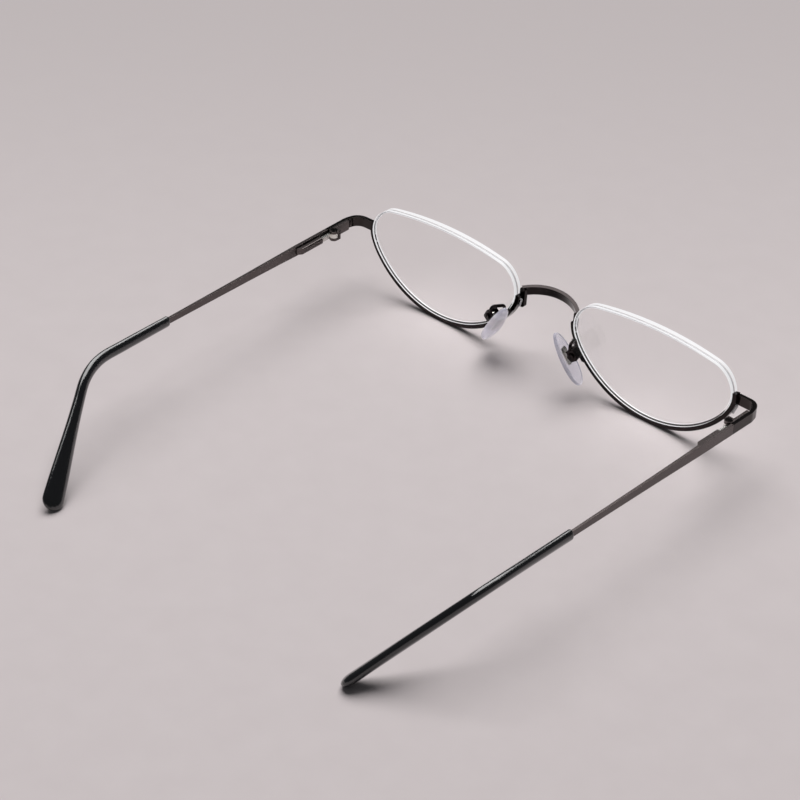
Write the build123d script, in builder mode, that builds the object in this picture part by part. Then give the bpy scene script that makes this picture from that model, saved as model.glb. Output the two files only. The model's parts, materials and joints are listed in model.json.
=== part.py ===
from build123d import *
import os
from math import acos, asin, atan2, cos, degrees, radians, sin, sqrt, tan

# Half eye reading glasses: two low lenses held from below by half rims and over the top by a nylon
# line, a bridge, adjustable nose pads, and temples on spring hinges with bent plastic tips.
# Millimetres. x is to the wearer's left, y to the back and z up, and the glasses stand on z = 0 on
# their rims and tips. The left half is modelled and then mirrored about x = 0.

# Lens outline: six arcs, the same left and right. The bottom arc is flatter, by the swell, than one
# that would meet the corner arcs by itself, and the flank arcs between them have a radius between theirs.
LENS_WIDTH = 49.7
LENS_HEIGHT = 26.0
LENS_TOP_RADIUS = 112.0
LENS_CORNER_RADIUS = 7.5
LENS_SWELL = 0.46
FLANK_SHARE = 0.43

# Lens body: a weak plus lens with a groove round its edge
LENS_EDGE = 2.5
LENS_FRONT_CURVE = 420.0
LENS_BACK_CURVE = 700.0
GROOVE_WIDTH = 0.6
GROOVE_DEPTH = 0.55

# Front
BRIDGE_GAP = 19.7
FRONT_LEAN = 4.1
OVERRUN = 1.0

# Half rim, with a rib that sits in the lens groove
RIM_WIDTH = 1.2
RIM_DEPTH = 1.7
RIM_FIT = 0.03
RIB_WIDTH = 0.5
RIB_HEIGHT = 0.4
RIM_TEMPLE_END = 9.0
RIM_NOSE_END = -1.0
RIB_BACK = 5.0

# Nylon line over the top of the lens, laced through two holes at each end of the rim
LINE_DIAMETER = 0.5
LINE_FIT = 0.04
TEMPLE_HOLE = -14.0
NOSE_HOLE = -7.0
HOLE_STEP = 13.0

# Bridge: a flat strap bent to an arc, with a foot on the front of each rim
BRIDGE_HEIGHT = 2.6
BRIDGE_THICKNESS = 1.0
BRIDGE_HALF_SPAN = 9.3
BRIDGE_BOW = 3.95
BRIDGE_TILT = 12.5
BRIDGE_LIFT = 4.6
BRIDGE_FORWARD = 1.75
FOOT_WIDTH = 1.7
FOOT_LENGTH = 5.7
FOOT_THICKNESS = 1.1
FOOT_FIT = 0.05
FOOT_CORNER = 0.75

# Hinge: its axis, and the temple's direction from it
END_REACH = 8.1
FRAME_WIDTH = BRIDGE_GAP + 2 * (LENS_WIDTH + END_REACH)
HINGE_INSET = 2.2
HINGE_BACK = 10.0
HINGE_LEVEL = 18.0
TEMPLE_RISE = 1.6
TEMPLE_SPLAY = 1.3
HINGE_HEIGHT = 2.8
BARREL_RADIUS = 1.2
EYE_HEIGHT = 1.2
EYE_RADIUS = 1.15
KNUCKLE_GAP = 0.03
EYE_ROOM = 0.1
KNUCKLE_FRONT = 1.4
LEAF_THICKNESS = 0.8
LEAF_LENGTH = 6.6
SCREW_RADIUS = 0.55
SCREW_FIT = 0.03
SCREW_HEAD_RADIUS = 0.95
SCREW_HEAD_HEIGHT = 0.5
SCREW_HEAD_SUNK = 0.35
SLOT_WIDTH = 0.25
SLOT_DEPTH = 0.22
SLOT_TURN = 30

# End piece: the strap from the rim round the corner to the hinge
STRAP_THICKNESS = 1.0
STRAP_FRONT = 1.3
STRAP_RADIUS = 3.2
CORNER_INSET = 1.0
BUTT_PLACE = 1.0
BUTT_GAP = 0.05

# Spring tongue, whose rod slides in the housing, nearer to the temple than the hinge axis
TONGUE_WIDTH = 1.0
TONGUE_END = 4.4
ROD_OUT = 0.6
ROD_RADIUS = 0.28
ROD_END = 11.2
STOP_RADIUS = 0.5
STOP_LENGTH = 0.7
STOP_BACK = 0.2
SPRING_RADIUS = 0.42
SPRING_WIRE = 0.16
SPRING_PITCH = 0.65
BUSH_PLACE = 4.9
BUSH_LENGTH = 0.7
SLIDE_FIT = 0.04
BUSH_FIT = 0.02

# Housing on the inside of the temple
HOUSING_FRONT = 4.6
HOUSING_FULL = 12.0
HOUSING_END = 13.6
HOUSING_LIP = 0.3
HOUSING_WALL = 0.22
HOUSING_HEIGHT = 1.8
HOUSING_BORE = 0.56
HOUSING_BORE_END = 11.5
HOUSING_EDGE = 0.4

# Temple strip: tall and thick at the hinge, slim at the tip
STRIP_HEIGHT = 2.8
STRIP_THICKNESS = 0.9
STRIP_WAIST_PLACE = 20.0
STRIP_WAIST_HEIGHT = 2.2
STRIP_WAIST_THICKNESS = 0.8
STRIP_SLIM_PLACE = 32.0
STRIP_TIP_HEIGHT = 1.6
STRIP_TIP_THICKNESS = 0.65
CORE_SHORT = 8.0
CORE_RADIUS = 0.5

# Temple tip: its front end, its bend and its paddle
TIP_PLACE = 61.4
BEND_PLACE = 89.4
TIP_REACH = 39.7
TIP_INWARD = 28.7
BEND_RADIUS = 18.0
TIP_FRONT_HEIGHT = 3.0
TIP_FRONT_THICKNESS = 2.2
TIP_END_HEIGHT = 5.8
TIP_END_THICKNESS = 2.7
FLARE_SHARE = 0.5
TIP_FOOT = 0.926
TIP_TWIST = 44.0
TENON_LENGTH = 1.6
TENON_STEP = 0.12
TIP_FRONT_ROUND = 0.4
TIP_NOSE = 2.8
NOSE_TURN = 78
ROUND_STEPS = 5
TIP_STEPS = 18

# Nose pad and its arm
PAD_PIVOT_SIDE = 13.55
PAD_PIVOT_BACK = 5.3
PAD_PIVOT_LEVEL = 12.85
PAD_SPLAY = 14.0
PAD_FLARE = 30.5
PAD_LENGTH = 15.8
PAD_WIDTH = 5.8
PAD_THICKNESS = 2.1
PAD_EDGE = 0.8
PAD_DROP = 1.0
PAD_STANDOFF = 1.5
BOX_HEIGHT = 3.2
BOX_WIDTH = 2.8
BOX_OUT = 1.3
BOX_IN = 0.9
BOX_SLOT = 1.4
BOX_CORNER = 0.5
LUG_RADIUS = 0.95
LUG_FIT = 0.05
PAD_SCREW_RADIUS = 0.4
PAD_SCREW_FIT = 0.03
PAD_HEAD_RADIUS = 0.85
PAD_HEAD_HEIGHT = 0.45
PAD_SLOT_TURN = 20
INSERT_LENGTH = 5.0
INSERT_WIDTH = 2.4
INSERT_THICKNESS = 0.6
INSERT_COVER = 0.5
INSERT_CORNER = 0.8
ARM_RADIUS = 0.45
ARM_LOOP_RISE = 3.4
ARM_LOOP_BACK = 1.2
ARM_END_RISE = 2.2
ARM_AT_BOX = 0.9
ARM_BEND = 0.9
ARM_WIRE_DROP = 2.0
ARM_FOOT_THICKNESS = 0.6
ARM_FOOT_TOP = -0.5
ARM_FOOT_LENGTH = 5.0

# Lens outline worked out: each corner arc lies inside the top arc, and each flank arc joins a corner
# arc to the bottom arc
half_width = LENS_WIDTH / 2
half_height = LENS_HEIGHT / 2
top_centre = Vector(0, half_height - LENS_TOP_RADIUS)
corner_x = half_width - LENS_CORNER_RADIUS
corner_rise = sqrt((LENS_TOP_RADIUS - LENS_CORNER_RADIUS) ** 2 - corner_x**2)
corner_centre = Vector(corner_x, top_centre.Y + corner_rise)
corner_level = corner_centre.Y + half_height
meeting_reach = corner_x**2 + corner_level**2 - LENS_CORNER_RADIUS**2
bottom_radius = meeting_reach / (corner_level - LENS_CORNER_RADIUS) / 2 + LENS_SWELL
flank_radius = LENS_CORNER_RADIUS + (bottom_radius - LENS_CORNER_RADIUS) * FLANK_SHARE
bottom_centre = Vector(0, bottom_radius - half_height)
link = corner_centre - bottom_centre
bottom_link = bottom_radius - flank_radius
corner_link = flank_radius - LENS_CORNER_RADIUS
along_link = (bottom_link**2 - corner_link**2 + link.length**2) / (2 * link.length)
beside_link = sqrt(bottom_link**2 - along_link**2)
link_side = Vector(link.Y, -link.X).normalized()
flank_centre = bottom_centre + link.normalized() * along_link + link_side * beside_link


def heading(start, end):
    """Angle of the line from start to end, in degrees."""
    return degrees(atan2(end.Y - start.Y, end.X - start.X))


top_angle = heading(top_centre, corner_centre)
corner_angle = heading(flank_centre, corner_centre)
flank_angle = heading(bottom_centre, flank_centre)

# The two leaned lens planes and the temple's frame at the hinge axis. In a lens plane x is to the
# wearer's left, y up and z forward. In the temple's frame x runs back along the temple, y inward and
# z up along the hinge axis.
lean = radians(FRONT_LEAN)
lens_x = (BRIDGE_GAP + LENS_WIDTH) / 2
lens_level = (half_height + RIM_WIDTH) * cos(lean) + RIM_DEPTH / 2 * sin(lean)
FRONT = Plane(origin=(lens_x, 0, lens_level), x_dir=(1, 0, 0), z_dir=(0, -cos(lean), -sin(lean)))


def direction(yaw, pitch):
    """Unit vector that runs back, turned outward by yaw and up by pitch, in degrees."""
    yaw = radians(yaw)
    pitch = radians(pitch)
    return Vector(sin(yaw) * cos(pitch), cos(yaw) * cos(pitch), sin(pitch))


hinge = Vector(FRAME_WIDTH / 2 - HINGE_INSET, HINGE_BACK, HINGE_LEVEL)
along = direction(-TEMPLE_SPLAY, TEMPLE_RISE)
outward = direction(90 - TEMPLE_SPLAY, 0)
TEMPLE = Plane(origin=hinge, x_dir=along, z_dir=outward.cross(along))


def lens_edge(grow, mode=Mode.ADD):
    """Face of the lens outline moved outward by grow, in the open sketch."""
    turn = top_angle - corner_angle
    flank_turn = corner_angle - flank_angle
    left_corner = Vector(-corner_centre.X, corner_centre.Y)
    left_flank = Vector(-flank_centre.X, flank_centre.Y)
    with BuildLine() as outline:
        CenterArc(top_centre, LENS_TOP_RADIUS + grow, top_angle, 180 - 2 * top_angle)
        CenterArc(left_corner, LENS_CORNER_RADIUS + grow, 180 - top_angle, turn)
        CenterArc(left_flank, flank_radius + grow, 180 - corner_angle, flank_turn)
        CenterArc(bottom_centre, bottom_radius + grow, 180 - flank_angle, 180 + 2 * flank_angle)
        CenterArc(flank_centre, flank_radius + grow, flank_angle, flank_turn)
        CenterArc(corner_centre, LENS_CORNER_RADIUS + grow, corner_angle, turn)
    make_face(outline.edges(), mode=mode)


def edge_arc(angle):
    """Centre and radius of the arc where the lens edge faces outward at angle, in degrees up from level."""
    if angle > corner_angle:
        return corner_centre, LENS_CORNER_RADIUS
    if angle > flank_angle:
        return flank_centre, flank_radius
    return bottom_centre, bottom_radius


def rim_point(side, angle, grow):
    """Point outside the lens edge by grow. side is 1 at the temple and -1 at the nose."""
    centre, radius = edge_arc(angle)
    x = centre.X + (radius + grow) * cos(radians(angle))
    y = centre.Y + (radius + grow) * sin(radians(angle))
    return Vector(side * x, y)


def clear_above(temple_end, nose_end):
    """Cut the open sketch above the two rim ends, given as directions of the lens edge."""
    temple_centre = edge_arc(temple_end)[0]
    nose_centre = edge_arc(nose_end)[0]
    with BuildLine() as cut:
        Polyline(
            temple_centre,
            rim_point(1, temple_end, LENS_WIDTH),
            (LENS_WIDTH, LENS_WIDTH),
            (-LENS_WIDTH, LENS_WIDTH),
            rim_point(-1, nose_end, LENS_WIDTH),
            (-nose_centre.X, nose_centre.Y),
            close=True,
        )
    make_face(cut.edges(), mode=Mode.SUBTRACT)


def rod(start, end, radius, mode=Mode.ADD):
    """Round rod from start to end in the open part."""
    run = end - start
    with BuildSketch(Plane(origin=start, z_dir=run)) as section:
        Circle(radius)
    extrude(section.sketch, amount=run.length, mode=mode)


# Lens
edge_sag_front = half_width**2 / (2 * LENS_FRONT_CURVE)
edge_sag_back = half_width**2 / (2 * LENS_BACK_CURVE)
with BuildPart() as left_lens:
    with BuildSketch(FRONT):
        lens_edge(0)
    extrude(amount=LENS_EDGE, both=True)
    with Locations(FRONT.offset(LENS_EDGE / 2 + edge_sag_front - LENS_FRONT_CURVE)):
        Sphere(LENS_FRONT_CURVE, rotation=(90, 0, 0), mode=Mode.INTERSECT)
    with Locations(FRONT.offset(edge_sag_back - LENS_EDGE / 2 - LENS_BACK_CURVE)):
        Sphere(LENS_BACK_CURVE, rotation=(90, 0, 0), mode=Mode.SUBTRACT)
    with BuildSketch(FRONT.offset(-GROOVE_WIDTH / 2)):
        lens_edge(OVERRUN)
        lens_edge(-GROOVE_DEPTH, mode=Mode.SUBTRACT)
    extrude(amount=GROOVE_WIDTH, mode=Mode.SUBTRACT)
left_lens.part.label = "left_lens"

# Lacing of the nylon line: down the groove, out through one hole and back in through the next
line_radius = LINE_DIAMETER / 2
line_seat = line_radius + LINE_FIT - GROOVE_DEPTH
outside_radius = (flank_radius + RIM_WIDTH + LINE_FIT) / cos(radians(HOLE_STEP / 2)) + line_radius
line_out = outside_radius - flank_radius


def lacing(side, hole):
    """Corners of the line's path at one rim end, in space."""
    below = hole - HOLE_STEP
    places = ((hole, line_seat), (hole, line_out), (below, line_out), (below, 0))
    return [FRONT.from_local_coords(rim_point(side, angle, grow)) for angle, grow in places]


# Half rim
with BuildPart() as left_rim:
    with BuildSketch(FRONT):
        lens_edge(RIM_WIDTH)
        lens_edge(RIM_FIT, mode=Mode.SUBTRACT)
        clear_above(RIM_TEMPLE_END, RIM_NOSE_END)
    extrude(amount=RIM_DEPTH / 2, both=True)
    with BuildSketch(FRONT):
        lens_edge(RIM_WIDTH / 2)
        lens_edge(-RIB_HEIGHT, mode=Mode.SUBTRACT)
        clear_above(TEMPLE_HOLE - HOLE_STEP - RIB_BACK, NOSE_HOLE - HOLE_STEP - RIB_BACK)
    extrude(amount=RIB_WIDTH / 2, both=True)
    for side, hole in ((1, TEMPLE_HOLE), (-1, NOSE_HOLE)):
        path = lacing(side, hole)
        rod(path[0], path[1], line_radius + LINE_FIT, mode=Mode.SUBTRACT)
        rod(path[2], path[3], line_radius + LINE_FIT, mode=Mode.SUBTRACT)
left_rim.part.label = "left_rim"

# Nylon line: over the top in the groove, then down the corner, and down the flank where a hole is
# that low
def groove_arcs(hole):
    """Arcs in the groove from the top arc to a hole on the temple side."""
    corner_end = max(hole, corner_angle)
    arcs = [CenterArc(corner_centre, LENS_CORNER_RADIUS + line_seat, corner_end, top_angle - corner_end)]
    if hole < corner_end:
        arcs.append(CenterArc(flank_centre, flank_radius + line_seat, hole, corner_end - hole))
    return arcs


line_arcs = [CenterArc(top_centre, LENS_TOP_RADIUS + line_seat, top_angle, 180 - 2 * top_angle)]
line_arcs += groove_arcs(TEMPLE_HOLE)
line_arcs += [arc.mirror(Plane.YZ) for arc in groove_arcs(NOSE_HOLE)]
with BuildPart() as left_lens_line:
    for flat_arc in line_arcs:
        arc = FRONT.from_local_coords(flat_arc)
        with BuildSketch(Plane(origin=arc @ 0, z_dir=arc % 0)):
            Circle(line_radius)
        sweep(path=arc)
    for side, hole in ((1, TEMPLE_HOLE), (-1, NOSE_HOLE)):
        path = lacing(side, hole)
        for start, end in zip(path[:-1], path[1:]):
            rod(start, end, line_radius)
        with Locations(*path[:-1]):
            Sphere(line_radius)
left_lens_line.part.label = "left_lens_line"

# Bridge: the arc's plane is tilted up to the front, with y back
arc_radius = (BRIDGE_HALF_SPAN**2 + BRIDGE_BOW**2) / (2 * BRIDGE_BOW)
arc_half_turn = degrees(asin(BRIDGE_HALF_SPAN / arc_radius))
tilt = radians(BRIDGE_TILT)
bridge_ends = Vector(0, -BRIDGE_FORWARD, lens_level + BRIDGE_LIFT)
ARCH = Plane(origin=bridge_ends, x_dir=(1, 0, 0), z_dir=(0, sin(tilt), cos(tilt)))
foot_x = -half_width - FOOT_FIT - FOOT_WIDTH / 2
foot_y = BRIDGE_LIFT + BRIDGE_HEIGHT / 2 - FOOT_LENGTH / 2
with BuildPart() as bridge:
    with BuildSketch(ARCH):
        with BuildLine():
            CenterArc((0, arc_radius - BRIDGE_BOW), arc_radius, -90 - arc_half_turn, 2 * arc_half_turn)
        trace(line_width=BRIDGE_THICKNESS)
    extrude(amount=BRIDGE_HEIGHT / 2, both=True)
    with BuildSketch(FRONT.offset(RIM_DEPTH / 2)):
        with Locations((foot_x, foot_y)):
            RectangleRounded(FOOT_WIDTH, FOOT_LENGTH, FOOT_CORNER)
    extrude(amount=FOOT_THICKNESS)
    mirror(about=Plane.YZ)
bridge.part.label = "bridge"

# End piece: a strap from the rim round the corner to the butt joint with the temple
strap_middle = STRAP_THICKNESS / 2 - HINGE_INSET
strap_front = STRAP_THICKNESS / 2 - STRAP_FRONT - HINGE_BACK
rim_inward = hinge.X - lens_x - half_width
with BuildPart() as left_end_piece:
    with BuildSketch(TEMPLE):
        with BuildLine():
            FilletPolyline(
                (strap_front, rim_inward),
                (strap_front, strap_middle + CORNER_INSET),
                (-LEAF_LENGTH, strap_middle),
                (BUTT_PLACE - BUTT_GAP, strap_middle),
                radius=STRAP_RADIUS,
            )
        trace(line_width=STRAP_THICKNESS)
    extrude(amount=STRIP_HEIGHT / 2, both=True)
    with BuildSketch(FRONT):
        lens_edge(RIM_WIDTH)
    extrude(amount=RIM_DEPTH, both=True, mode=Mode.SUBTRACT)
left_end_piece.part.label = "left_end_piece"

# Front leaf of the hinge: a plate on the strap's inner face and two knuckles
leaf_outside = STRAP_THICKNESS - HINGE_INSET
slot_height = EYE_HEIGHT + 2 * KNUCKLE_GAP
with BuildPart() as left_front_leaf:
    with BuildSketch(TEMPLE):
        with Locations((-LEAF_LENGTH, leaf_outside)):
            Rectangle(LEAF_LENGTH, LEAF_THICKNESS, align=(Align.MIN, Align.MIN))
        Circle(BARREL_RADIUS)
        Rectangle(KNUCKLE_FRONT, 2 * BARREL_RADIUS, align=(Align.MAX, Align.CENTER))
        Circle(SCREW_RADIUS, mode=Mode.SUBTRACT)
    extrude(amount=HINGE_HEIGHT / 2, both=True)
    with BuildSketch(TEMPLE):
        Circle(EYE_RADIUS + EYE_ROOM)
        tongue_room = TONGUE_WIDTH / 2 + EYE_ROOM
        Rectangle(tongue_room, BARREL_RADIUS + OVERRUN, align=(Align.MAX, Align.MIN))
    extrude(amount=slot_height / 2, both=True, mode=Mode.SUBTRACT)
    with BuildSketch(TEMPLE.offset(HINGE_HEIGHT / 2 - SCREW_HEAD_SUNK)):
        Circle(SCREW_HEAD_RADIUS + SCREW_FIT)
    extrude(amount=SCREW_HEAD_SUNK, mode=Mode.SUBTRACT)
left_front_leaf.part.label = "left_front_leaf"

# Hinge screw, its slotted head on top
with BuildPart() as left_hinge_screw:
    with BuildSketch(TEMPLE.offset(-HINGE_HEIGHT / 2)):
        Circle(SCREW_RADIUS)
    extrude(amount=HINGE_HEIGHT - SCREW_HEAD_SUNK)
    with BuildSketch(TEMPLE.offset(HINGE_HEIGHT / 2 - SCREW_HEAD_SUNK)):
        Circle(SCREW_HEAD_RADIUS)
    extrude(amount=SCREW_HEAD_HEIGHT)
    head_top = HINGE_HEIGHT / 2 - SCREW_HEAD_SUNK + SCREW_HEAD_HEIGHT
    with BuildSketch(TEMPLE.offset(head_top - SLOT_DEPTH)):
        Rectangle(2 * SCREW_HEAD_RADIUS + OVERRUN, SLOT_WIDTH, rotation=SLOT_TURN)
    extrude(amount=OVERRUN, mode=Mode.SUBTRACT)
left_hinge_screw.part.label = "left_hinge_screw"


def rod_plane(place):
    """Plane square to the rod at a place behind the hinge axis, its x up and its y outward."""
    origin = TEMPLE.from_local_coords(Vector(place, -ROD_OUT, 0))
    return Plane(origin=origin, x_dir=TEMPLE.z_dir, z_dir=TEMPLE.x_dir)


# Spring tongue: the middle knuckle, its slide and its rod
with BuildPart() as left_hinge_tongue:
    with BuildSketch(TEMPLE):
        Circle(EYE_RADIUS)
        with Locations((TONGUE_END / 2, -ROD_OUT)):
            Rectangle(TONGUE_END, TONGUE_WIDTH)
        Circle(SCREW_RADIUS + SCREW_FIT, mode=Mode.SUBTRACT)
    extrude(amount=EYE_HEIGHT / 2, both=True)
    with BuildSketch(rod_plane(TONGUE_END)):
        Circle(ROD_RADIUS)
    extrude(amount=ROD_END - TONGUE_END)
left_hinge_tongue.part.label = "left_hinge_tongue"

# Stop nut at the end of the rod
stop_place = ROD_END - STOP_BACK - STOP_LENGTH
with BuildPart() as left_spring_stop:
    with BuildSketch(rod_plane(stop_place)):
        Circle(STOP_RADIUS)
        Circle(ROD_RADIUS, mode=Mode.SUBTRACT)
    extrude(amount=STOP_LENGTH)
left_spring_stop.part.label = "left_spring_stop"

# Guide bush, fixed in the housing, which the rod slides through
bush_end = BUSH_PLACE + BUSH_LENGTH
with BuildPart() as left_guide_bush:
    with BuildSketch(rod_plane(BUSH_PLACE)):
        Circle(HOUSING_BORE - BUSH_FIT)
        Circle(ROD_RADIUS + SLIDE_FIT, mode=Mode.SUBTRACT)
    extrude(amount=BUSH_LENGTH)
left_guide_bush.part.label = "left_guide_bush"

# Coil spring between the bush and the stop nut
spring_start = bush_end + SPRING_WIRE / 2
spring_length = stop_place - bush_end - SPRING_WIRE
spring_turns = spring_length / SPRING_PITCH
with BuildPart() as left_hinge_spring:
    with BuildLine() as coil:
        Helix(
            pitch=SPRING_PITCH,
            height=spring_length,
            radius=SPRING_RADIUS,
            center=TEMPLE.from_local_coords(Vector(spring_start, -ROD_OUT, 0)),
            direction=TEMPLE.x_dir,
        )
    with BuildSketch(Plane(origin=coil.line @ 0, z_dir=coil.line % 0)):
        Circle(SPRING_WIRE / 2)
    sweep(path=coil.line)
left_hinge_spring.part.label = "left_hinge_spring"
print("spring turns", round(spring_turns, 2), "gap between coils", round(SPRING_PITCH - SPRING_WIRE, 3))

# Housing of the spring, on the inner face of the temple strip
housing_outside = STRIP_THICKNESS - HINGE_INSET
housing_inside = HOUSING_BORE + HOUSING_WALL - ROD_OUT
with BuildPart() as left_hinge_housing:
    with BuildSketch(TEMPLE):
        with BuildLine():
            Polyline(
                (HOUSING_FRONT, housing_outside),
                (HOUSING_END, housing_outside),
                (HOUSING_END, housing_outside + HOUSING_LIP),
                (HOUSING_FULL, housing_inside),
                (HOUSING_FRONT, housing_inside),
                close=True,
            )
        make_face()
    extrude(amount=HOUSING_HEIGHT / 2, both=True)
    inner_edges = left_hinge_housing.edges().filter_by(Axis(hinge, along))
    fillet(inner_edges.sort_by(Axis(hinge, TEMPLE.y_dir))[-2:], radius=HOUSING_EDGE)
    with BuildSketch(rod_plane(HOUSING_FRONT)):
        Circle(HOUSING_BORE)
    extrude(amount=HOUSING_BORE_END - HOUSING_FRONT, mode=Mode.SUBTRACT)
left_hinge_housing.part.label = "left_hinge_housing"

# Centre line of the tip: straight, then one bend inward and down, then straight to its end. The
# tip's underside comes down to the table.
tip_middle = STRIP_TIP_THICKNESS / 2 - HINGE_INSET
tip_start = TEMPLE.from_local_coords(Vector(TIP_PLACE, tip_middle, 0))
bend_corner = TEMPLE.from_local_coords(Vector(BEND_PLACE, tip_middle, 0))
tip_drop = degrees(asin((bend_corner.Z - TIP_FOOT) / TIP_REACH))
tip_heading = direction(-TEMPLE_SPLAY - TIP_INWARD, -tip_drop)
bend_angle = degrees(acos(along.dot(tip_heading)))
bend_tangent = BEND_RADIUS * tan(radians(bend_angle / 2))
bend_start = bend_corner - along * bend_tangent
bend_inside = (tip_heading - along * along.dot(tip_heading)).normalized()
bend_centre = bend_start + bend_inside * BEND_RADIUS
bend_axis = Axis(bend_centre, along.cross(tip_heading))
straight_length = (bend_start - tip_start).length
bend_length = BEND_RADIUS * radians(bend_angle)
tip_length = straight_length + bend_length + TIP_REACH - bend_tangent
tip_end = bend_corner + tip_heading * TIP_REACH
print("tip bend", round(bend_angle, 2), "drop", round(tip_drop, 2), "length", round(tip_length, 2))


def tip_plane(distance):
    """Plane square to the tip's centre line, its x up along the section, at a distance down the tip."""
    turned = min(max(distance - straight_length, 0), bend_length) / bend_length * bend_angle
    twist = TIP_TWIST * distance / tip_length
    heading_here = along.rotate(bend_axis, turned)
    up_here = TEMPLE.z_dir.rotate(bend_axis, turned)
    spoke = (bend_start - bend_centre).rotate(bend_axis, turned)
    extra = distance - straight_length - bend_length * turned / bend_angle
    middle = bend_centre + spoke + heading_here * extra
    leaned_up = up_here.rotate(Axis((0, 0, 0), heading_here), twist)
    return Plane(origin=middle, x_dir=leaned_up, z_dir=heading_here)


# Temple strip, the tenon at its end and the wire core that runs on inside the tip
tenon_outside = TENON_STEP - HINGE_INSET
with BuildPart() as left_temple:
    with BuildSketch(TEMPLE):
        with BuildLine():
            Polyline(
                (BUTT_PLACE, -HINGE_INSET),
                (TIP_PLACE, -HINGE_INSET),
                (TIP_PLACE, tenon_outside),
                (TIP_PLACE + TENON_LENGTH, tenon_outside),
                (TIP_PLACE + TENON_LENGTH, STRIP_TIP_THICKNESS - HINGE_INSET),
                (STRIP_WAIST_PLACE, STRIP_WAIST_THICKNESS - HINGE_INSET),
                (HOUSING_END, housing_outside),
                (BUTT_PLACE, housing_outside),
                close=True,
            )
        make_face()
    extrude(amount=STRIP_HEIGHT, both=True)
    with BuildSketch(Plane(origin=hinge, x_dir=along, z_dir=-TEMPLE.y_dir)):
        with BuildLine():
            Polyline(
                (BUTT_PLACE, STRIP_HEIGHT / 2),
                (HOUSING_END, STRIP_HEIGHT / 2),
                (STRIP_SLIM_PLACE, STRIP_WAIST_HEIGHT / 2),
                (TIP_PLACE + TENON_LENGTH, STRIP_TIP_HEIGHT / 2),
                (TIP_PLACE + TENON_LENGTH, -STRIP_TIP_HEIGHT / 2),
                (STRIP_SLIM_PLACE, -STRIP_WAIST_HEIGHT / 2),
                (HOUSING_END, -STRIP_HEIGHT / 2),
                (BUTT_PLACE, -STRIP_HEIGHT / 2),
                close=True,
            )
        make_face()
    extrude(amount=2 * HINGE_INSET, both=True, mode=Mode.INTERSECT)
    core_end = tip_end - tip_heading * CORE_SHORT
    with BuildLine() as core_path:
        FilletPolyline(tip_start + along * OVERRUN, bend_corner, core_end, radius=BEND_RADIUS)
    with BuildSketch(tip_plane(OVERRUN)):
        Circle(CORE_RADIUS)
    sweep(path=core_path.line)
left_temple.part.label = "left_temple"

# Temple tip: oval sections that flare out to the paddle, with a rounded front end and a blunt nose
nose_place = tip_length - TIP_NOSE


def tip_halves(distance):
    """Half height and half thickness of the tip's oval at a distance down the tip."""
    share = distance / tip_length
    flare = max(share - FLARE_SHARE, 0) / (1 - FLARE_SHARE)
    growth = flare**2 * (3 - 2 * flare)
    height = TIP_FRONT_HEIGHT + (TIP_END_HEIGHT - TIP_FRONT_HEIGHT) * growth
    thickness = TIP_FRONT_THICKNESS + (TIP_END_THICKNESS - TIP_FRONT_THICKNESS) * share
    return height / 2, thickness / 2


with BuildPart() as left_temple_tip:
    for step in range(TIP_STEPS + 1):
        distance = TIP_FRONT_ROUND + (nose_place - TIP_FRONT_ROUND) * step / TIP_STEPS
        half_height, half_thickness = tip_halves(distance)
        with BuildSketch(tip_plane(distance)):
            Ellipse(half_height, half_thickness)
    loft()
    for step in range(ROUND_STEPS + 1):
        turned = radians(90 * step / ROUND_STEPS)
        distance = TIP_FRONT_ROUND * (1 - cos(turned))
        drawn_in = TIP_FRONT_ROUND * (1 - sin(turned))
        half_height, half_thickness = tip_halves(distance)
        with BuildSketch(tip_plane(distance)):
            Ellipse(half_height - drawn_in, half_thickness - drawn_in)
    loft(ruled=True)
    for step in range(ROUND_STEPS + 1):
        turned = radians(NOSE_TURN * step / ROUND_STEPS)
        distance = nose_place + TIP_NOSE * sin(turned) / sin(radians(NOSE_TURN))
        half_height, half_thickness = tip_halves(distance)
        with BuildSketch(tip_plane(distance)):
            Ellipse(half_height * cos(turned), half_thickness * cos(turned))
    loft(ruled=True)
    add(left_temple.part, mode=Mode.SUBTRACT)
left_temple_tip.part.label = "left_temple_tip"

# Nose pad frames: x up the pad, y outward from the nose, z back along the pad screw
splay = radians(PAD_SPLAY)
flare = radians(PAD_FLARE)
pad_out = Vector(cos(flare) * cos(splay), -cos(flare) * sin(splay), sin(flare))
pad_up = (Vector(0, 0, 1) - pad_out * pad_out.Z).normalized()
pad_back = pad_up.cross(pad_out)
pad_pivot = Vector(PAD_PIVOT_SIDE, PAD_PIVOT_BACK, PAD_PIVOT_LEVEL)
PIVOT = Plane(origin=pad_pivot, x_dir=pad_up, z_dir=pad_back)
pad_middle = pad_pivot - pad_up * PAD_DROP - pad_out * (PAD_STANDOFF + PAD_THICKNESS / 2)
PAD = Plane(origin=pad_middle, x_dir=pad_up, z_dir=pad_out)
print("lens arcs", round(bottom_radius, 2), round(flank_radius, 2), "joined at", round(corner_angle, 2))
print("pad up", pad_up, "pad out", pad_out, "pad back", pad_back)

# Pad box: two cheeks with a slot between them, open towards the pad
with BuildPart() as left_pad_box:
    with BuildSketch(PIVOT):
        with Locations((0, (BOX_OUT - BOX_IN) / 2)):
            RectangleRounded(BOX_HEIGHT, BOX_OUT + BOX_IN, BOX_CORNER)
    extrude(amount=BOX_WIDTH / 2, both=True)
    with BuildSketch(PIVOT):
        with Locations((0, LUG_RADIUS + LUG_FIT)):
            Rectangle(BOX_HEIGHT + OVERRUN, BOX_OUT + BOX_IN + OVERRUN, align=(Align.CENTER, Align.MAX))
    extrude(amount=BOX_SLOT / 2, both=True, mode=Mode.SUBTRACT)
    with BuildSketch(PIVOT):
        Circle(PAD_SCREW_RADIUS)
    extrude(amount=BOX_WIDTH, both=True, mode=Mode.SUBTRACT)
left_pad_box.part.label = "left_pad_box"

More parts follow.
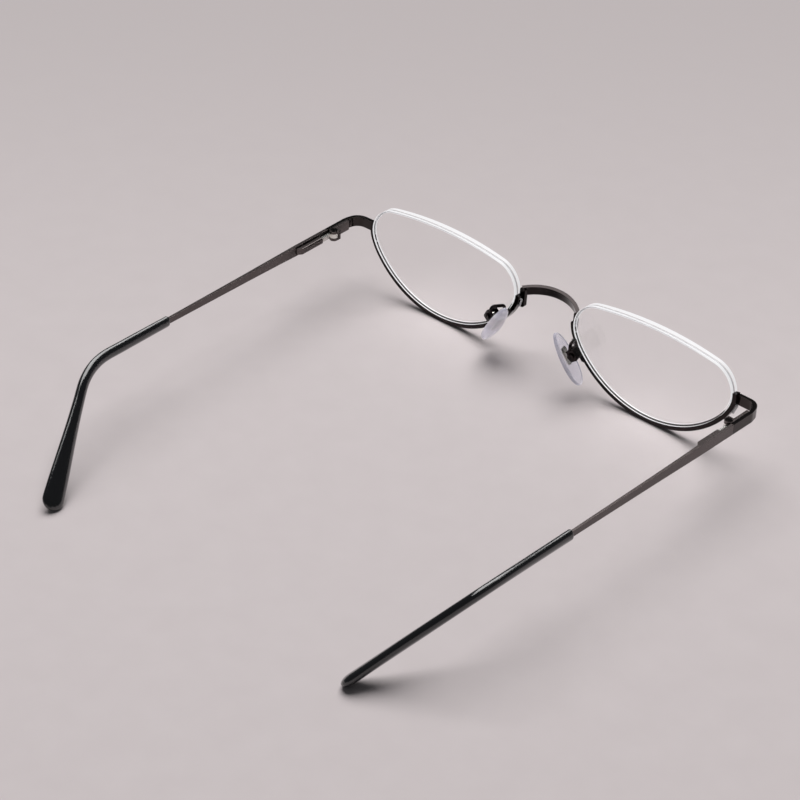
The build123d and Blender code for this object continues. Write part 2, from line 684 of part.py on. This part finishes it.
# Pad screw, its slotted head on the back cheek
with BuildPart() as left_pad_screw:
    with BuildSketch(PIVOT.offset(-BOX_WIDTH / 2)):
        Circle(PAD_SCREW_RADIUS)
    extrude(amount=BOX_WIDTH)
    with BuildSketch(PIVOT.offset(BOX_WIDTH / 2)):
        Circle(PAD_HEAD_RADIUS)
    extrude(amount=PAD_HEAD_HEIGHT)
    with BuildSketch(PIVOT.offset(BOX_WIDTH / 2 + PAD_HEAD_HEIGHT - SLOT_DEPTH)):
        Rectangle(2 * PAD_HEAD_RADIUS + OVERRUN, SLOT_WIDTH, rotation=PAD_SLOT_TURN)
    extrude(amount=OVERRUN, mode=Mode.SUBTRACT)
left_pad_screw.part.label = "left_pad_screw"

# Metal insert of the pad: a plate inside the pad and a lug on the screw
lug_thickness = BOX_SLOT - 2 * LUG_FIT
insert_face = PAD_STANDOFF + INSERT_COVER
with BuildPart() as left_pad_insert:
    with BuildSketch(PIVOT):
        Circle(LUG_RADIUS)
        with Locations((0, -insert_face / 2)):
            Rectangle(2 * LUG_RADIUS, insert_face)
        Circle(PAD_SCREW_RADIUS + PAD_SCREW_FIT, mode=Mode.SUBTRACT)
    extrude(amount=lug_thickness / 2, both=True)
    with BuildSketch(Plane(origin=pad_pivot - pad_out * insert_face, x_dir=pad_up, z_dir=-pad_out)):
        RectangleRounded(INSERT_LENGTH, INSERT_WIDTH, INSERT_CORNER)
    extrude(amount=INSERT_THICKNESS)
left_pad_insert.part.label = "left_pad_insert"

# Nose pad: an oval body with rounded edges, moulded round the insert
with BuildPart() as left_nose_pad:
    with BuildSketch(PAD.offset(-PAD_THICKNESS / 2)):
        Ellipse(PAD_LENGTH / 2, PAD_WIDTH / 2)
    extrude(amount=PAD_THICKNESS)
    fillet(left_nose_pad.edges(), radius=PAD_EDGE)
    add(left_pad_insert.part, mode=Mode.SUBTRACT)
left_nose_pad.part.label = "left_nose_pad"

# Nose pad arm: a foot plate on the back of the rim, and a wire looped up and back to the box
flank_reach = flank_radius + RIM_WIDTH / 2
wire_drop = ARM_FOOT_TOP - ARM_WIRE_DROP
wire_x = -flank_centre.X - sqrt(flank_reach**2 - (wire_drop - flank_centre.Y) ** 2)
wire_foot = FRONT.from_local_coords(Vector(wire_x, wire_drop, -RIM_DEPTH / 2 - ARM_RADIUS))
loop_front = wire_foot + Vector(0, ARM_LOOP_BACK, ARM_LOOP_RISE)
wire_end = PIVOT.from_local_coords(Vector(BOX_HEIGHT / 2 - ARM_RADIUS, 0, ARM_AT_BOX))
loop_back = wire_end + Vector(0, 0, ARM_END_RISE)
with BuildPart() as left_pad_arm:
    with BuildSketch(FRONT.offset(-RIM_DEPTH / 2)):
        lens_edge(RIM_WIDTH)
        lens_edge(RIM_FIT, mode=Mode.SUBTRACT)
        with Locations((-half_width, ARM_FOOT_TOP)):
            Rectangle(half_width, ARM_FOOT_LENGTH, align=(Align.CENTER, Align.MAX), mode=Mode.INTERSECT)
    extrude(amount=-ARM_FOOT_THICKNESS)
    with BuildLine() as wire_path:
        FilletPolyline(wire_foot, loop_front, loop_back, wire_end, radius=ARM_BEND)
    with BuildSketch(Plane(origin=wire_foot, z_dir=loop_front - wire_foot)):
        Circle(ARM_RADIUS)
    sweep(path=wire_path.line)
    with BuildSketch(PIVOT):
        with Locations((0, (BOX_OUT - BOX_IN) / 2)):
            Rectangle(BOX_HEIGHT, BOX_OUT + BOX_IN)
    extrude(amount=BOX_WIDTH / 2, both=True, mode=Mode.SUBTRACT)
left_pad_arm.part.label = "left_pad_arm"

# The right half: the mirror image of each left piece
left_pieces = (
    left_lens,
    left_rim,
    left_lens_line,
    left_end_piece,
    left_front_leaf,
    left_hinge_screw,
    left_hinge_tongue,
    left_spring_stop,
    left_guide_bush,
    left_hinge_spring,
    left_hinge_housing,
    left_temple,
    left_temple_tip,
    left_pad_arm,
    left_pad_box,
    left_pad_screw,
    left_pad_insert,
    left_nose_pad,
)
pieces = [bridge.part]
for left_piece in left_pieces:
    with BuildPart() as right_piece:
        mirror(left_piece.part, about=Plane.YZ)
    right_piece.part.label = left_piece.part.label.replace("left", "right")
    pieces.append(left_piece.part)
    pieces.append(right_piece.part)

# The origin is under the middle of the whole object, on the table
whole = Compound(children=[piece.moved(Location()) for piece in pieces]).bounding_box()
shift = Vector(0, -(whole.min.Y + whole.max.Y) / 2, 0)
print("box", whole.min, whole.max, "shift", shift)
print("hinge", hinge + shift, "along", along, "up", TEMPLE.z_dir, "in", TEMPLE.y_dir)
print("pad pivot", pad_pivot + shift, "pad screw axis", pad_back)
os.makedirs("parts", exist_ok=True)
for piece in pieces:
    label = piece.label
    placed = piece.moved(Location(shift))
    placed.label = label
    export_step(placed, "parts/" + label + ".step")
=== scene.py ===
import json
from math import cos, pi, radians, sin

import bmesh
import bpy
from mathutils import Matrix, Vector


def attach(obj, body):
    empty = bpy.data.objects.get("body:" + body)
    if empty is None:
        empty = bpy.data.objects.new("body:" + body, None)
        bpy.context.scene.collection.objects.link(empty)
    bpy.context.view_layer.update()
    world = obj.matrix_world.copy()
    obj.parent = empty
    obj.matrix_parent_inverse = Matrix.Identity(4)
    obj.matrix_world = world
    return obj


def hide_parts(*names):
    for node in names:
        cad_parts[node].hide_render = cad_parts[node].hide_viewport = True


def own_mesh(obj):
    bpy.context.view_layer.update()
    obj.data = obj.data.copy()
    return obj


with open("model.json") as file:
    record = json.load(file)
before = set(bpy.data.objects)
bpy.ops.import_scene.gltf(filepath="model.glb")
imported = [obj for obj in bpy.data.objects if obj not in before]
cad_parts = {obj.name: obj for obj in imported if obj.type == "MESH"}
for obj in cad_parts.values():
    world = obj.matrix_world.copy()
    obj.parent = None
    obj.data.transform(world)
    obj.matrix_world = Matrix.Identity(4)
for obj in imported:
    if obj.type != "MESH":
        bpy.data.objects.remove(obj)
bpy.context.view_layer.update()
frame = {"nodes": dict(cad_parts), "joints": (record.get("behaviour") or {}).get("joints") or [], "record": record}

# Half eye reading glasses on a pale sheet, seen from behind and above. Lengths are in metres, x is to
# the wearer's left, y to the back and z up, as in the frame.
MM = 0.001
SIDES = {"left": 1, "right": -1}

# Shader nodes
BEVEL_SAMPLES = 6


class Channel:
    """A shader socket that takes Python's operators. Each operation adds one Math node."""

    def __init__(self, finish, socket):
        self.finish = finish
        self.socket = socket

    def math(self, operation, *values):
        return self.finish.node("Math", {"operation": operation}, *values)

    def __add__(self, other):
        return self.math("ADD", self, other)

    def __radd__(self, other):
        return self.math("ADD", other, self)

    def __mul__(self, other):
        return self.math("MULTIPLY", self, other)

    def __rmul__(self, other):
        return self.math("MULTIPLY", other, self)

    def __abs__(self):
        return self.math("ABSOLUTE", self)


class Finish:
    """One material, and the nodes that its surface is worked out with."""

    def __init__(self, name):
        self.material = bpy.data.materials.new(name)
        self.material.use_nodes = True
        self.tree = self.material.node_tree
        self.tree.nodes.clear()
        self.output = self.tree.nodes.new("ShaderNodeOutputMaterial")

    def node(self, kind, settings=None, *values, out=None, **named):
        """Adds a node with its settings. Inputs come by place, of those in use, or by name, with
        underscores for spaces. It gives the named output, or else the first in use."""
        node = self.tree.nodes.new("ShaderNode" + kind)
        for name, value in (settings or {}).items():
            setattr(node, name, value)
        used = [socket for socket in node.inputs if socket.enabled]
        inputs = list(zip(used, values))
        inputs += [(node.inputs[name.replace("_", " ")], value) for name, value in named.items()]
        for socket, value in inputs:
            self.feed(socket, value)
        if out:
            return Channel(self, node.outputs[out])
        return Channel(self, next(socket for socket in node.outputs if socket.enabled))

    def feed(self, socket, value):
        if isinstance(value, Channel):
            self.tree.links.new(value.socket, socket)
        elif socket.type == "RGBA":
            socket.default_value = (*value, 1)
        else:
            socket.default_value = value

    def place(self):
        """Where a point is on the resting object, in metres."""
        return self.node("TexCoord", out="Object")

    def dot(self, first, second):
        return self.node("VectorMath", {"operation": "DOT_PRODUCT"}, first, second)

    def facing(self, direction):
        """How far the surface faces a direction: 1 is straight at it."""
        return self.dot(self.node("NewGeometry", out="True Normal"), direction)

    def noise(self, size, detail=3):
        """Cloudy values from 0 to 1 with patches of about that size."""
        spread = (1 / size, 1 / size, 1 / size)
        place = self.node("VectorMath", {"operation": "MULTIPLY"}, self.place(), spread)
        return self.node("TexNoise", None, Vector=place, Scale=1, Detail=detail)

    def ramp(self, value, low, high):
        """0 below low and 1 above high, smooth between them."""
        return self.node("MapRange", {"interpolation_type": "SMOOTHSTEP"}, value, low, high)

    def blend(self, share, first, second):
        """A colour between two colours."""
        return self.node("Mix", {"data_type": "RGBA"}, share, first, second)

    def soft_edges(self, radius):
        """The normal as if the edges were rounded by a radius."""
        return self.node("Bevel", {"samples": BEVEL_SAMPLES}, Radius=radius)

    def bump(self, height, depth, strength, **named):
        """The normal as if the surface rose with the height, by that depth at most."""
        return self.node("Bump", None, Height=height, Distance=depth, Strength=strength, **named)

    def surface(self, **inputs):
        return self.node("BsdfPrincipled", None, **inputs)

    def close(self, surface):
        """Ends the material with its surface."""
        self.tree.links.new(surface.socket, self.output.inputs["Surface"])
        return self.material


# Metal finishes
METAL_EDGE = 0.15 * MM


def gunmetal():
    """Dark brown plating over metal, satin, with faint cloudiness and fine grain."""
    finish = Finish("gunmetal")
    cloud = finish.noise(6 * MM)
    grain = finish.noise(0.25 * MM, detail=2)
    colour = finish.blend(cloud, (0.078, 0.064, 0.062), (0.110, 0.092, 0.090))
    rough = 0.20 + 0.08 * cloud + 0.05 * grain
    edges = finish.soft_edges(METAL_EDGE)
    return finish.close(finish.surface(
        Base_Color=colour, Metallic=1.0, Roughness=rough, Coat_Weight=0.35, Coat_Roughness=0.12,
        Normal=finish.bump(grain, 0.01 * MM, 0.08, Normal=edges)))


def polished_gunmetal():
    """The same plating, darker and polished, as on the end pieces."""
    finish = Finish("polished_gunmetal")
    cloud = finish.noise(5 * MM)
    colour = finish.blend(cloud, (0.024, 0.019, 0.018), (0.040, 0.032, 0.030))
    rough = 0.10 + 0.06 * cloud
    return finish.close(finish.surface(
        Base_Color=colour, Metallic=1.0, Roughness=rough, Coat_Weight=0.25, Coat_Roughness=0.06,
        Normal=finish.soft_edges(METAL_EDGE)))


def black_chrome():
    """Nearly black polished plating, as on the bridge, rims, hinge screws and what holds the pads."""
    finish = Finish("black_chrome")
    cloud = finish.noise(4 * MM)
    colour = finish.blend(cloud, (0.014, 0.011, 0.011), (0.028, 0.022, 0.022))
    rough = 0.12 + 0.08 * cloud
    return finish.close(finish.surface(
        Base_Color=colour, Metallic=1.0, Roughness=rough, Coat_Weight=0.1, Coat_Roughness=0.05,
        Normal=finish.soft_edges(METAL_EDGE)))


def bright_nickel():
    """Bare bright metal of the hinge tongues, their stops and bushes and the pads' inserts."""
    finish = Finish("bright_nickel")
    marks = finish.noise(0.2 * MM, detail=2)
    colour = finish.blend(marks, (0.72, 0.70, 0.66), (0.88, 0.87, 0.84))
    return finish.close(finish.surface(
        Base_Color=colour, Metallic=1.0, Roughness=0.16 + 0.12 * marks,
        Normal=finish.bump(marks, 0.01 * MM, 0.2)))


def spring_wire():
    """Drawn steel wire."""
    finish = Finish("spring_wire")
    marks = finish.noise(0.3 * MM, detail=2)
    colour = finish.blend(marks, (0.42, 0.42, 0.43), (0.60, 0.60, 0.60))
    return finish.close(finish.surface(Base_Color=colour, Metallic=1.0, Roughness=0.28 + 0.1 * marks))


# Lens, line, tip and pad finishes, with the lean of the lens plane
FRONT_LEAN = radians(4.1)
LENS_AXIS = (0, cos(FRONT_LEAN), sin(FRONT_LEAN))
EDGE_BELOW = 0.45
FACE_ABOVE = 0.65
# Painted glow: the ground lens edge gives off white light of its own, in place of the light that goes through the
# lens.
EDGE_PAINTED_GLOW = (1.0, 0.99, 1.0)
EDGE_PAINTED_GLOW_STRENGTH = 0.66
TIP_EDGE = 1.0 * MM
# Painted glow: the pads give off a faint lilac light of their own.
PAD_PAINTED_GLOW = (0.86, 0.84, 1.0)
PAD_PAINTED_GLOW_STRENGTH = 0.05


def lens_plastic():
    """Clear polished faces and a finely ground grey edge, with a painted white glow on the edge that stands in for
    the light carried in the lens.
    """
    finish = Finish("lens_plastic")
    face = finish.ramp(abs(finish.facing(LENS_AXIS)), EDGE_BELOW, FACE_ABOVE)
    dust = finish.noise(1.5 * MM)
    clear = finish.surface(
        Base_Color=(0.99, 0.99, 0.99), Roughness=0.004 + 0.006 * dust, IOR=1.5, Transmission_Weight=1.0)
    grain = finish.noise(0.12 * MM, detail=2)
    # The ground edge: real grey grain, plus a painted white glow (emission) standing in for light carried through
    # the lens.
    ground_and_painted_glow = finish.surface(
        Base_Color=finish.blend(grain, (0.18, 0.18, 0.19), (0.27, 0.27, 0.28)), Roughness=0.42,
        Normal=finish.bump(grain, 0.02 * MM, 0.3),
        Emission_Color=EDGE_PAINTED_GLOW, Emission_Strength=EDGE_PAINTED_GLOW_STRENGTH)
    return finish.close(finish.node("MixShader", None, face, ground_and_painted_glow, clear))


def nylon():
    """Clear line that looks whitish."""
    finish = Finish("nylon")
    tone = finish.noise(1 * MM)
    colour = finish.blend(tone, (0.84, 0.85, 0.88), (0.95, 0.95, 0.96))
    return finish.close(finish.surface(
        Base_Color=colour, Roughness=0.22 + 0.08 * tone, IOR=1.53, Transmission_Weight=0.35))


def tip_plastic():
    """Polished black plastic with a very slight ripple from tumbling."""
    finish = Finish("tip_plastic")
    ripple = finish.noise(7 * MM, detail=1)
    haze = finish.noise(2.5 * MM)
    colour = finish.blend(haze, (0.0020, 0.0020, 0.0028), (0.0045, 0.0045, 0.0058))
    return finish.close(finish.surface(
        Base_Color=colour, Roughness=0.05 + 0.04 * haze, IOR=1.5, Coat_Weight=1.0, Coat_Roughness=0.03,
        Normal=finish.bump(ripple, 0.12 * MM, 0.25, Normal=finish.soft_edges(TIP_EDGE))))


def pad_plastic():
    """Soft clear plastic with a lilac tint and a faint milkiness, and a faint painted lilac glow that stands in
    for light scattered inside the pad.
    """
    finish = Finish("pad_plastic")
    cloud = finish.noise(3 * MM)
    colour = finish.blend(cloud, (0.88, 0.87, 0.94), (0.94, 0.935, 0.975))
    return finish.close(finish.surface(
        Base_Color=colour, Roughness=0.14 + 0.08 * cloud, IOR=1.41, Transmission_Weight=0.82,
        # Painted glow: faint lilac emission in place of light scattered inside the pad.
        Emission_Color=PAD_PAINTED_GLOW, Emission_Strength=PAD_PAINTED_GLOW_STRENGTH,
        Normal=finish.bump(cloud, 0.05 * MM, 0.2)))


# Sheet finish
# Painted shade: the sheet's colour darkens towards its far side, standing in for the light falling off.
SHEET_FAR_SIDE = (0.665, -0.747, 0.0)
SHEET_FAR_PAINTED_SHADE = (0.450, 0.410, 0.413)
SHEET_PAINTED_SHADE_SPREAD = 300 * MM


def paper():
    """Pale matt sheet with a faint mottling, and painted shade that darkens it towards its far side in place of
    the light falling off there.
    """
    finish = Finish("paper")
    mottle = finish.noise(9 * MM, detail=4)
    colour = finish.blend(mottle, (0.565, 0.512, 0.517), (0.605, 0.552, 0.557))
    # Painted shade: darker with distance towards the far side.
    painted_falloff = finish.ramp(finish.dot(finish.place(), SHEET_FAR_SIDE), 0.0, SHEET_PAINTED_SHADE_SPREAD)
    return finish.close(finish.surface(
        Base_Color=finish.blend(painted_falloff, colour, SHEET_FAR_PAINTED_SHADE), Roughness=0.85))


# Finishes of the pieces: a piece's own, or else that of its material slot
FINISHES = {
    "frame_metal": gunmetal(),
    "polished": polished_gunmetal(),
    "black_chrome": black_chrome(),
    "bright_metal": bright_nickel(),
    "spring_steel": spring_wire(),
    "lens_plastic": lens_plastic(),
    "nylon_line": nylon(),
    "tip_plastic": tip_plastic(),
    "pad_plastic": pad_plastic(),
}
PIECE_FINISHES = {
    "end_piece": "polished",
    "bridge": "black_chrome",
    "rim": "black_chrome",
    "hinge_screw": "black_chrome",
    "pad_arm": "black_chrome",
    "pad_box": "black_chrome",
    "pad_screw": "black_chrome",
}


def dress_nodes():
    """Gives every piece of the frame its finish. The lenses cast no shadow, as light goes through them."""
    slots = {entry["node"]: entry["material_slot"] for entry in frame["record"]["subparts"]}
    for name, piece in frame["nodes"].items():
        kind = name.replace("left_", "").replace("right_", "")
        finish = PIECE_FINISHES.get(kind, slots[name])
        piece.data.materials.clear()
        piece.data.materials.append(FINISHES[finish])
        piece.data.shade_smooth()
        piece.visible_shadow = kind != "lens"


def find_joint(name):
    return next(joint for joint in frame["joints"] if joint["name"] == name)


def finished_mesh(work, name):
    """Turns a shape in the making into a mesh."""
    mesh = bpy.data.meshes.new(name)
    work.to_mesh(mesh)
    work.free()
    return mesh


def new_piece(name, mesh, slot, body):
    """Links a mesh as a piece that rides on a body."""
    piece = bpy.data.objects.new(name, mesh)
    bpy.context.scene.collection.objects.link(piece)
    mesh.materials.append(FINISHES[slot])
    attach(piece, body)
    return piece


# Nose pads: an oval that is thick in the middle and thin at its edge, crowned towards the nose
PAD_SPLAY = radians(14.0)
PAD_FLARE = radians(30.5)
PAD_LENGTH = 15.6 * MM
PAD_WIDTH = 5.7 * MM
PAD_BLUNTNESS = 0.12
PAD_FACE_SHARE = 0.97
PAD_RIM = 0.9 * MM
PAD_CROWN = 2.0 * MM
PAD_CROWN_POWER = 2.2
PAD_HOLLOW = 0.35 * MM
PAD_DROP = 1.0 * MM
PAD_STANDOFF = 1.5 * MM
PAD_BODY = 2.1 * MM
PAD_SETBACK = 0.3 * MM
PAD_FACE_RINGS = 14
PAD_RIM_STEPS = 6
PAD_POINTS = 56


def pad_frame(side):
    """The middle of a pad and its directions: up the pad, out from the nose and back."""
    out = Vector((cos(PAD_FLARE) * cos(PAD_SPLAY), -cos(PAD_FLARE) * sin(PAD_SPLAY), sin(PAD_FLARE)))
    up = (Vector((0, 0, 1)) - out * out.z).normalized()
    pivot = Vector(find_joint("left_pad_rock")["pos_m"])
    middle = pivot - up * PAD_DROP - out * (PAD_STANDOFF + PAD_BODY / 2)
    back = up.cross(out)
    flip = Vector((SIDES[side], 1, 1))
    return [vector * flip for vector in (middle, up, out, back)]


def pad_profile():
    """The size and depth of each ring, from the hollow back of a pad round its rim to its crown."""
    outer = PAD_BODY / 2 - PAD_SETBACK
    shares = [step / PAD_FACE_RINGS for step in range(1, PAD_FACE_RINGS + 1)]
    profile = []
    for share in shares:
        hollow = PAD_HOLLOW * (1 - share ** 2)
        profile.append((share * PAD_FACE_SHARE, outer - hollow))
    for step in range(1, PAD_RIM_STEPS):
        turn = pi * step / PAD_RIM_STEPS
        bulge = (1 - PAD_FACE_SHARE) * sin(turn)
        profile.append((PAD_FACE_SHARE + bulge, outer - PAD_RIM / 2 * (1 - cos(turn))))
    for share in reversed(shares):
        crown = (PAD_CROWN - PAD_RIM) * (1 - share ** PAD_CROWN_POWER)
        profile.append((share * PAD_FACE_SHARE, outer - PAD_RIM - crown))
    return profile


def nose_pad(side):
    """A soft pad in the place of its plain solid: an oval that is a little blunter at its lower end."""
    middle, up, out, back = pad_frame(side)
    work = bmesh.new()
    rings = []
    for share, depth in pad_profile():
        ring = []
        for step in range(PAD_POINTS):
            angle = 2 * pi * step / PAD_POINTS
            along = cos(angle) * PAD_LENGTH / 2 * share
            across = sin(angle) * PAD_WIDTH / 2 * share * (1 - PAD_BLUNTNESS * cos(angle))
            ring.append(work.verts.new(middle + up * along + back * across + out * depth))
        rings.append(ring)
    for first, second in zip(rings[:-1], rings[1:]):
        for step in range(PAD_POINTS):
            after = (step + 1) % PAD_POINTS
            work.faces.new((first[step], first[after], second[after], second[step]))
    work.faces.new(list(reversed(rings[0])))
    work.faces.new(rings[-1])
    bmesh.ops.recalc_face_normals(work, faces=work.faces)
    mesh = finished_mesh(work, side + "_pad_shell")
    mesh.shade_smooth()
    piece = new_piece(side + "_pad_shell", mesh, "pad_plastic", "pad_" + side)
    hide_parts(side + "_nose_pad")


def shorten_spring(side):
    """Gives the coil spring a mesh of its own. It does not shorten the spring as the temple is pulled out along
    the tongue's rod.
    """
    spring = frame["nodes"][side + "_hinge_spring"]
    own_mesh(spring)


# Sheet
SHEET_HALF = 3.0


def sheet():
    """The pale sheet that the glasses stand on."""
    work = bmesh.new()
    bmesh.ops.create_grid(work, x_segments=1, y_segments=1, size=SHEET_HALF)
    mesh = finished_mesh(work, "sheet")
    floor = bpy.data.objects.new("sheet", mesh)
    mesh.materials.append(paper())
    bpy.context.scene.collection.objects.link(floor)


# Light
KEY_DISTANCE = 2.4
KEY_SIZE = 2.2
KEY_DIRECTION = Vector((0.28, -0.30, 0.91))
KEY_POWER = 73.5
KEY_COLOUR = (1.0, 0.99, 0.985)
SURROUND_COLOUR = (0.93, 0.96, 1.0)
SURROUND_STRENGTH = 0.09


def lights():
    """One large soft box above, a little to the wearer's front left, and a dim surround."""
    lamp = bpy.data.lights.new("key", "AREA")
    lamp.shape = "SQUARE"
    lamp.size = KEY_SIZE
    lamp.energy = KEY_POWER
    lamp.color = KEY_COLOUR
    key = bpy.data.objects.new("key", lamp)
    key.location = KEY_DIRECTION.normalized() * KEY_DISTANCE
    key.rotation_euler = KEY_DIRECTION.to_track_quat("Z", "Y").to_euler()
    bpy.context.scene.collection.objects.link(key)
    world = bpy.data.worlds.new("surround")
    world.use_nodes = True
    background = world.node_tree.nodes["Background"]
    background.inputs["Color"].default_value = (*SURROUND_COLOUR, 1)
    background.inputs["Strength"].default_value = SURROUND_STRENGTH
    bpy.context.scene.world = world


# Camera, with its lens and sensor in millimetres
CAMERA_AZIMUTH = radians(221.67)
CAMERA_ELEVATION = radians(34.83)
CAMERA_ROLL = radians(0.41)
CAMERA_DISTANCE = 668.3 * MM
CAMERA_TARGET = Vector((-3.6, -1.45, 22.17)) * MM
CAMERA_LENS = 123.93
CAMERA_SENSOR = 36.0
CAMERA_NEAREST = 10 * MM


def camera():
    """The camera looks down from behind the glasses, on the wearer's right."""
    back = Vector((
        sin(CAMERA_AZIMUTH) * cos(CAMERA_ELEVATION),
        -cos(CAMERA_AZIMUTH) * cos(CAMERA_ELEVATION),
        sin(CAMERA_ELEVATION)))
    lens = bpy.data.cameras.new("view")
    lens.lens = CAMERA_LENS
    lens.sensor_width = CAMERA_SENSOR
    lens.clip_start = CAMERA_NEAREST
    view = bpy.data.objects.new("view", lens)
    view.location = CAMERA_TARGET + back * CAMERA_DISTANCE
    level = back.to_track_quat("Z", "Y").to_matrix()
    view.rotation_euler = (level @ Matrix.Rotation(CAMERA_ROLL, 3, "Z")).to_euler()
    bpy.context.scene.collection.objects.link(view)
    bpy.context.scene.camera = view


dress_nodes()
for side in SIDES:
    nose_pad(side)
    shorten_spring(side)
sheet()
lights()
camera()
bpy.context.scene.view_settings.view_transform = "Standard"
